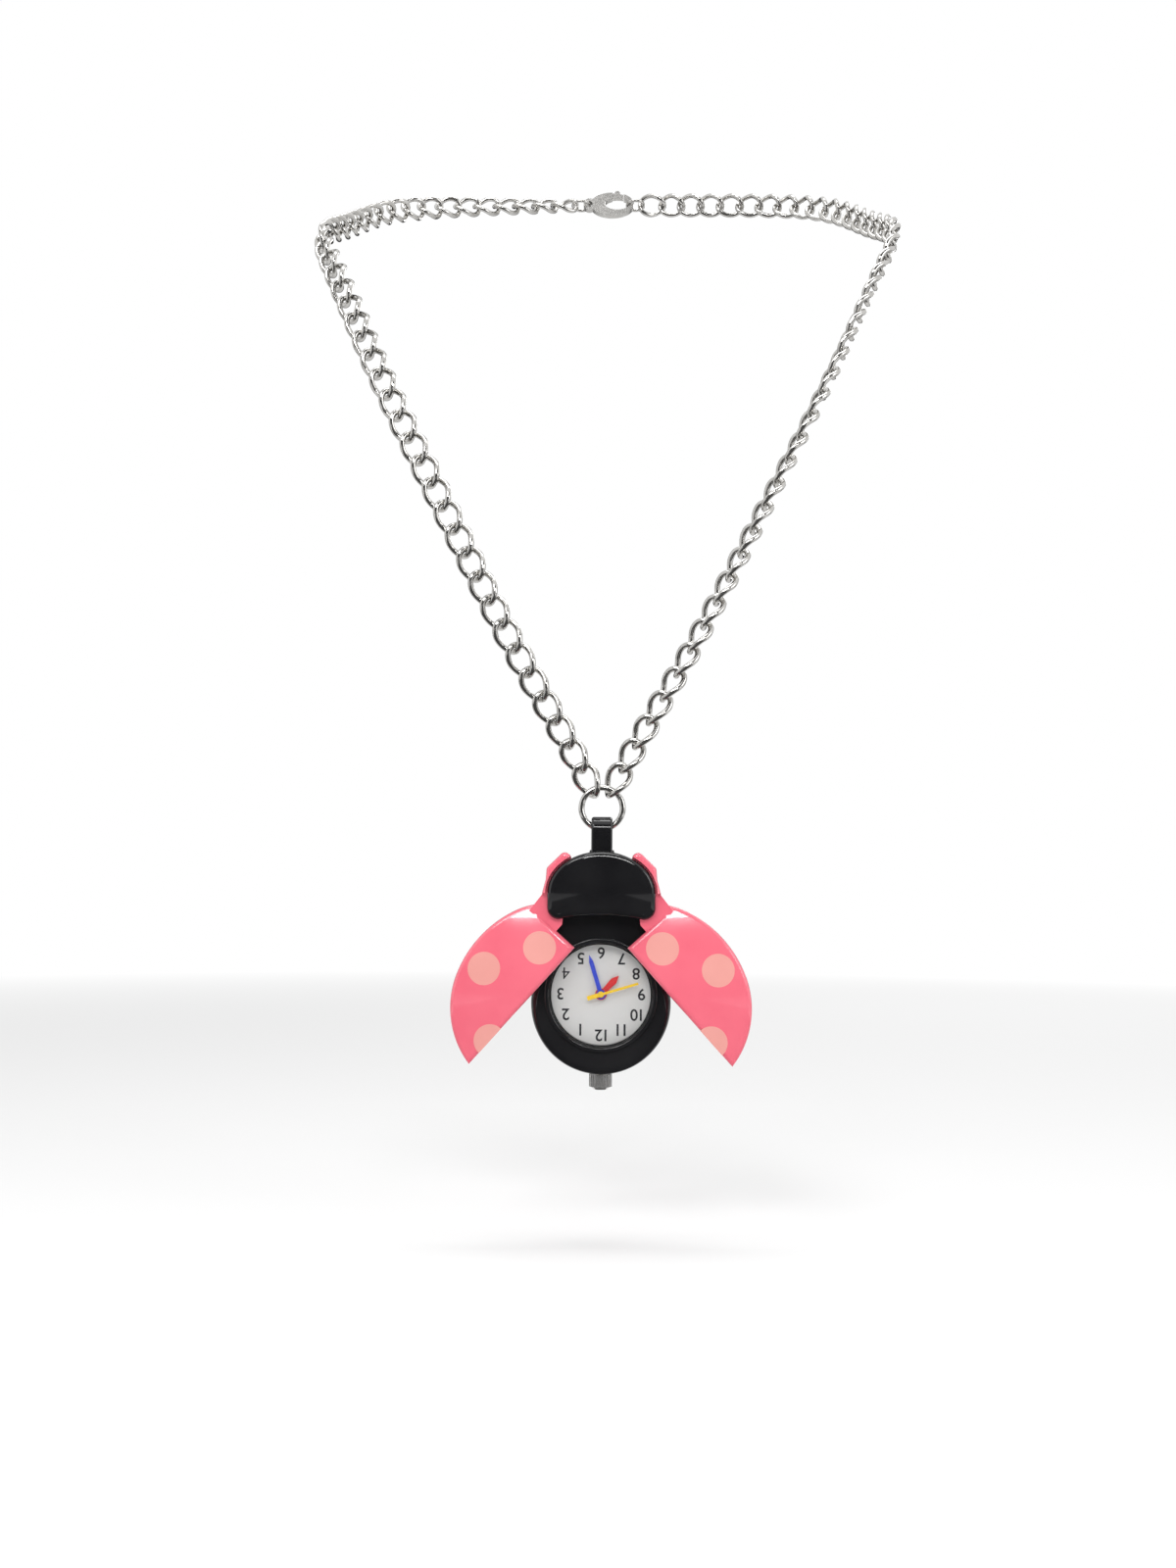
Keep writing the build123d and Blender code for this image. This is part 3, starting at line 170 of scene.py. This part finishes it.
def bumped(material, shader, factor, distance, strength):
    """Raises the surface by a factor times a distance."""
    tree = material.node_tree
    bump = tree.nodes.new("ShaderNodeBump")
    bump.inputs["Strength"].default_value = strength
    bump.inputs["Distance"].default_value = distance
    tree.links.new(factor, bump.inputs["Height"])
    tree.links.new(bump.outputs["Normal"], shader.inputs["Normal"])


def silver(name, first, second, roughness, metallic=1.0):
    """Polished silver-coloured plate, a little cloudy where it is handled."""
    material, shader = new_material(name, first, roughness, metallic)
    tinted(material, shader, noise(material, plate_cloud), first, second)
    fine = noise(material, plate_scratches)
    material.node_tree.links.new(spread(material, fine, roughness * 0.6, roughness * 1.6),
                                 shader.inputs["Roughness"])
    return material


def enamel(name, first, second, roughness, coat):
    """Glossy baked enamel under a clear coat, with a faint orange-peel waviness."""
    material, shader = new_material(name, first, roughness)
    shader.inputs["Coat Weight"].default_value = coat
    shader.inputs["Coat Roughness"].default_value = 0.03
    tinted(material, shader, noise(material, enamel_cloud), first, second)
    bumped(material, shader, noise(material, enamel_waves, detail=2.0), enamel_wave_height, 0.12)
    return material


def moulded(name, first, second, roughness):
    """Plastic with a fine moulded grain."""
    material, shader = new_material(name, first, roughness)
    grain = noise(material, moulded_grain)
    tinted(material, shader, grain, first, second)
    bumped(material, shader, grain, moulded_height, 0.4)
    return material


def machined(name, first, second, roughness):
    """Metal with fine straight tool marks."""
    material, shader = new_material(name, first, roughness, 1.0)
    tree = material.node_tree
    place = tree.nodes.new("ShaderNodeTexCoord")
    stretch = tree.nodes.new("ShaderNodeMapping")
    stretch.inputs["Scale"].default_value = tool_marks
    streaks = tree.nodes.new("ShaderNodeTexNoise")
    streaks.inputs["Scale"].default_value = 1.0
    tree.links.new(place.outputs["Object"], stretch.inputs["Vector"])
    tree.links.new(stretch.outputs["Vector"], streaks.inputs["Vector"])
    tinted(material, shader, streaks.outputs["Fac"], first, second)
    tree.links.new(spread(material, streaks.outputs["Fac"], roughness * 0.7, roughness * 1.4),
                   shader.inputs["Roughness"])
    return material


def lacquer(name, first, second):
    """Coloured lacquer on a thin metal hand."""
    material, shader = new_material(name, first, 0.35)
    shader.inputs["Coat Weight"].default_value = 0.1
    tinted(material, shader, noise(material, lacquer_cloud), first, second)
    return material


def dial_paint():
    """Silvery off-white dial with a fine grain."""
    first, second = (0.80, 0.80, 0.785), (0.87, 0.87, 0.855)
    material, shader = new_material("dial_silver", second, 0.32, 0.25)
    grain = noise(material, dial_grain)
    tinted(material, shader, grain, first, second)
    bumped(material, shader, grain, dial_grain_height, 0.3)
    return material


def crystal_glass():
    """Clear mineral glass, with a faint smear in its reflection."""
    material, shader = new_material("crystal_glass", (0.20, 0.21, 0.22), 0.02)
    shader.inputs["Alpha"].default_value = 0.05
    shader.inputs["IOR"].default_value = 1.5
    smear = noise(material, glass_smears)
    material.node_tree.links.new(spread(material, smear, 0.01, 0.05), shader.inputs["Roughness"])
    return material


chain_silver = silver("chain_silver", (0.50, 0.488, 0.465), (0.62, 0.61, 0.59), 0.14)
clasp_silver = silver("clasp_silver", (0.52, 0.51, 0.49), (0.64, 0.63, 0.61), 0.24, 0.75)
crown_silver = silver("crown_silver", (0.66, 0.65, 0.64), (0.78, 0.775, 0.77), 0.14, 0.9)
black_enamel = enamel("black_enamel", (0.006, 0.006, 0.007), (0.012, 0.012, 0.013), 0.06, 0.0)
wing_enamel = enamel("wing_enamel", (0.76, 0.125, 0.18), (0.80, 0.155, 0.21), 0.14, 0.6)
spot_enamel = enamel("spot_enamel", (0.72, 0.30, 0.27), (0.76, 0.335, 0.30), 0.16, 0.6)
numeral_ink = moulded("numeral_ink", (0.006, 0.005, 0.009), (0.012, 0.010, 0.016), 0.6)
steel = machined("steel", (0.50, 0.50, 0.51), (0.62, 0.62, 0.63), 0.28)
wheel_brass = machined("wheel_brass", (0.66, 0.46, 0.16), (0.78, 0.58, 0.26), 0.25)
nickel_brass = machined("nickel_brass", (0.50, 0.48, 0.42), (0.60, 0.58, 0.51), 0.3)
white_plastic = moulded("white_plastic", (0.74, 0.74, 0.71), (0.82, 0.82, 0.80), 0.45)
black_rubber = moulded("black_rubber", (0.010, 0.010, 0.010), (0.022, 0.022, 0.022), 0.7)
chip_black = moulded("chip_black", (0.008, 0.008, 0.008), (0.02, 0.02, 0.02), 0.4)
board_green = moulded("board_green", (0.02, 0.16, 0.05), (0.03, 0.22, 0.08), 0.35)
copper_wire = machined("copper_wire", (0.55, 0.20, 0.08), (0.72, 0.32, 0.15), 0.3)
magnet_grey = moulded("magnet_grey", (0.06, 0.06, 0.065), (0.10, 0.10, 0.11), 0.35)

node_materials = {
    chain_silver: ("chain_strand_left", "chain_strand_right", "nape_chain_left", "nape_chain_right",
                   "jump_ring", "end_ring", "clasp_ring"),
    clasp_silver: ("clasp_body", "clasp_lever", "clasp_pin"),
    crown_silver: ("crown",),
    black_enamel: ("case_body", "bail", "head_cap", "bezel_ring"),
    wing_enamel: ("wing_left", "wing_right"),
    spot_enamel: ("wing_spots_left", "wing_spots_right"),
    crystal_glass(): ("crystal",),
    dial_paint(): ("dial",),
    lacquer("hour_red", (0.62, 0.006, 0.010), (0.74, 0.012, 0.016)): ("hour_hand",),
    lacquer("minute_blue", (0.012, 0.035, 0.50), (0.02, 0.055, 0.62)): ("minute_hand",),
    lacquer("second_yellow", (0.82, 0.52, 0.006), (0.92, 0.62, 0.012)): ("second_hand",),
    steel: ("cap_screws", "wing_hinge_pins", "case_back", "movement_screws", "winding_stem", "lever_pin",
            "setting_lever", "train_bridge", "battery", "battery_strap", "stator", "coil_core",
            "quartz_can"),
    nickel_brass: ("main_plate", "crown_tube", "sliding_pinion"),
    wheel_brass: ("cannon_pinion", "hour_wheel", "minute_wheel", "second_wheel", "centre_wheel",
                  "third_wheel"),
    white_plastic: ("movement_holder", "wing_friction_washers", "fifth_wheel"),
    magnet_grey: ("rotor",),
    board_green: ("circuit_board",),
    chip_black: ("chip",),
    copper_wire: ("coil_winding",),
    black_rubber: ("crystal_gasket", "back_gasket", "crown_oring"),
}
for material, names in node_materials.items():
    for name in names:
        nodes[name].data.materials.clear()
        nodes[name].data.materials.append(material)


# Numbers one to twelve, all upright for the wearer, who reads the dial from above
def dial_number(number):
    """One number of the dial as a thin raised print."""
    letters = bpy.data.curves.new(f"number_{number}", "FONT")
    letters.body = str(number)
    letters.align_x = "CENTER"
    letters.align_y = "CENTER"
    letters.size = 1
    letters.space_character = number_spacing
    letters.extrude = number_thickness * digit_share / number_height
    # The four's pointed opening would close up
    letters.offset = 0 if number == 4 else number_boldness * digit_share / number_height
    words = bpy.data.objects.new(f"letters_{number}", letters)
    bpy.context.scene.collection.objects.link(words)
    bpy.context.view_layer.update()
    mesh = bpy.data.meshes.new_from_object(words)
    bpy.data.objects.remove(words)
    lows = [min(v.co[i] for v in mesh.vertices) for i in range(3)]
    highs = [max(v.co[i] for v in mesh.vertices) for i in range(3)]
    middle = Vector([(low + high) / 2 for low, high in zip(lows, highs)])
    stretch = number_height / (highs[1] - lows[1])
    spot = dial_centre + turned(twelve_angle + number * hour_step, dial_radius * number_radius_share)
    upright = Matrix.Rotation(math.radians(90), 4, "X")
    over = Matrix.Rotation(math.radians(twelve_angle), 4, "Y")
    mesh.transform(Matrix.Translation(spot) @ over @ upright @ Matrix.Scale(stretch, 4)
                   @ Matrix.Translation(-middle))
    piece = bpy.data.objects.new(f"number_{number}", mesh)
    bpy.context.scene.collection.objects.link(piece)
    piece.data.materials.append(numeral_ink)
    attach(piece, "pendant")


for number in range(1, 13):
    dial_number(number)


# Camera
def place_camera():
    """A camera at the photograph's place, turned so that the dial falls where it is there."""
    azimuth, elevation = math.radians(camera_azimuth), math.radians(camera_elevation)
    away = Vector((math.sin(azimuth) * math.cos(elevation), -math.cos(azimuth) * math.cos(elevation),
                   math.sin(elevation)))
    data = bpy.data.cameras.new("camera")
    data.lens = camera_lens
    data.sensor_width = sensor_side
    data.clip_start = camera_near
    data.clip_end = camera_far
    camera = bpy.data.objects.new("camera", data)
    bpy.context.scene.collection.objects.link(camera)
    camera.location = dial_centre + away * camera_distance
    facing = (-away).to_track_quat("-Z", "Y")
    tilt = Quaternion((1, 0, 0), math.radians(camera_pitch))
    swing = Quaternion((0, 1, 0), math.radians(camera_yaw))
    roll = Quaternion((0, 0, 1), math.radians(camera_roll))
    camera.rotation_mode = "QUATERNION"
    camera.rotation_quaternion = facing @ roll @ swing @ tilt
    bpy.context.scene.camera = camera


place_camera()


# Studio: white background, pale floor, soft lamps
def make_world():
    """White to the camera, in metal and through glass, and a plain soft light to the surfaces."""
    world = bpy.data.worlds.new("studio")
    world.use_nodes = True
    bpy.context.scene.world = world
    tree = world.node_tree
    path = tree.nodes.new("ShaderNodeLightPath")
    seen = path.outputs["Is Camera Ray"]
    for ray in ("Is Glossy Ray", "Is Transmission Ray"):
        either = tree.nodes.new("ShaderNodeMath")
        either.operation = "MAXIMUM"
        tree.links.new(seen, either.inputs[0])
        tree.links.new(path.outputs[ray], either.inputs[1])
        seen = either.outputs[0]
    strength = tree.nodes.new("ShaderNodeMapRange")
    strength.inputs["To Min"].default_value = world_light
    strength.inputs["To Max"].default_value = 1.0
    tree.links.new(seen, strength.inputs["Value"])
    light = tree.nodes["Background"]
    light.inputs["Color"].default_value = (1, 1, 1, 1)
    tree.links.new(strength.outputs["Result"], light.inputs["Strength"])


def make_floor():
    """A plain pale floor below the pendant, which the camera sees turn white with distance."""
    bpy.ops.mesh.primitive_plane_add(size=floor_size, location=(0, 0, floor_level))
    floor = bpy.context.object
    floor.name = "floor"
    material, shader = new_material("floor_pale", (floor_grey, floor_grey, floor_grey), floor_roughness)
    shader.inputs["Specular IOR Level"].default_value = 0
    tree = material.node_tree
    place = tree.nodes.new("ShaderNodeTexCoord")
    away = tree.nodes.new("ShaderNodeVectorMath")
    away.operation = "LENGTH"
    tree.links.new(place.outputs["Object"], away.inputs[0])
    fade = tree.nodes.new("ShaderNodeMapRange")
    fade.inputs["From Min"].default_value = floor_near
    fade.inputs["From Max"].default_value = floor_far
    tree.links.new(away.outputs["Value"], fade.inputs["Value"])
    path = tree.nodes.new("ShaderNodeLightPath")
    seen = tree.nodes.new("ShaderNodeMath")
    seen.operation = "MULTIPLY"
    tree.links.new(fade.outputs["Result"], seen.inputs[0])
    tree.links.new(path.outputs["Is Camera Ray"], seen.inputs[1])
    white = tree.nodes.new("ShaderNodeEmission")
    blend = tree.nodes.new("ShaderNodeMixShader")
    tree.links.new(seen.outputs[0], blend.inputs[0])
    tree.links.new(shader.outputs[0], blend.inputs[1])
    tree.links.new(white.outputs[0], blend.inputs[2])
    tree.links.new(blend.outputs[0], tree.nodes["Material Output"].inputs["Surface"])
    floor.data.materials.append(material)


def make_lamp(name, place, size, power):
    """A soft lamp, aimed at the dial."""
    data = bpy.data.lights.new(name, "AREA")
    data.shape = "RECTANGLE"
    data.size, data.size_y = size
    data.energy = power
    lamp = bpy.data.objects.new(name, data)
    bpy.context.scene.collection.objects.link(lamp)
    lamp.location = place
    lamp.rotation_mode = "QUATERNION"
    lamp.rotation_quaternion = (dial_centre - Vector(place)).to_track_quat("-Z", "Y")


def make_card(name, place, tilt, size):
    """A dark studio card that only reflections show, so that metal and enamel have contrast."""
    bpy.ops.mesh.primitive_plane_add(size=1, location=place, rotation=(math.radians(tilt), 0, 0))
    card = bpy.context.object
    card.name = name
    card.scale = (*size, 1)
    material, shader = new_material(name, (card_grey, card_grey, card_grey), 1.0)
    card.data.materials.append(material)
    card.visible_camera = False
    card.visible_diffuse = False
    card.visible_transmission = False
    card.visible_shadow = False


bpy.context.scene.view_settings.view_transform = "Standard"
make_world()
make_floor()
make_card("front_card", (0, -card_distance, dial_centre.z), 90, card_size)
make_card("back_card", (0, card_distance, dial_centre.z), 90, card_size)
make_card("low_card", low_card_place, 0, low_card_size)
for lamp in lamps:
    make_lamp(*lamp)
